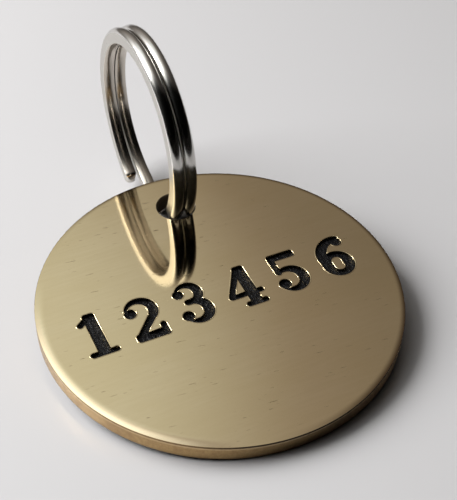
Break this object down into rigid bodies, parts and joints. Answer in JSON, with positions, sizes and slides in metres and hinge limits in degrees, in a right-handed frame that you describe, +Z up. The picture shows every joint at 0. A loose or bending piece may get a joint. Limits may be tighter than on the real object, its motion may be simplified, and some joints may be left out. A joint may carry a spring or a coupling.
{
  "type": "pet id tag",
  "caption": "Round engraved brass pet tag with black enamel figures, hung on a steel split ring that swings in its hole.",
  "frame": {"origin": "middle of the bounding box, at the height of the table that the tag lies on", "axes": "+Z up from the table, +Y from the disc towards the split ring, +X to the right of the figures as they are read"},
  "size_m": [0.033, 0.0452, 0.0199],
  "materials": {
    "tag_brass": "brushed face, satin turned edge",
    "ring_steel": "polished, with satin flat sides",
    "enamel_black": "black fill enamel, slightly rough"
  },
  "bodies": {
    "tag": {"tag_disc": "tag_brass", "enamel_figure_1": "enamel_black", "enamel_figure_2": "enamel_black", "enamel_figure_3": "enamel_black", "enamel_figure_4": "enamel_black", "enamel_figure_5": "enamel_black", "enamel_figure_6": "enamel_black"},
    "ring": {"split_ring": "ring_steel"}
  },
  "joints": [
    {"name": "ring_swing", "type": "hinge", "parent": "tag", "child": "ring", "pos_m": [0.0009, 0.00602, 0.00387], "axis": [1, 0, 0], "range_deg": [-73, 0]}
  ]
}
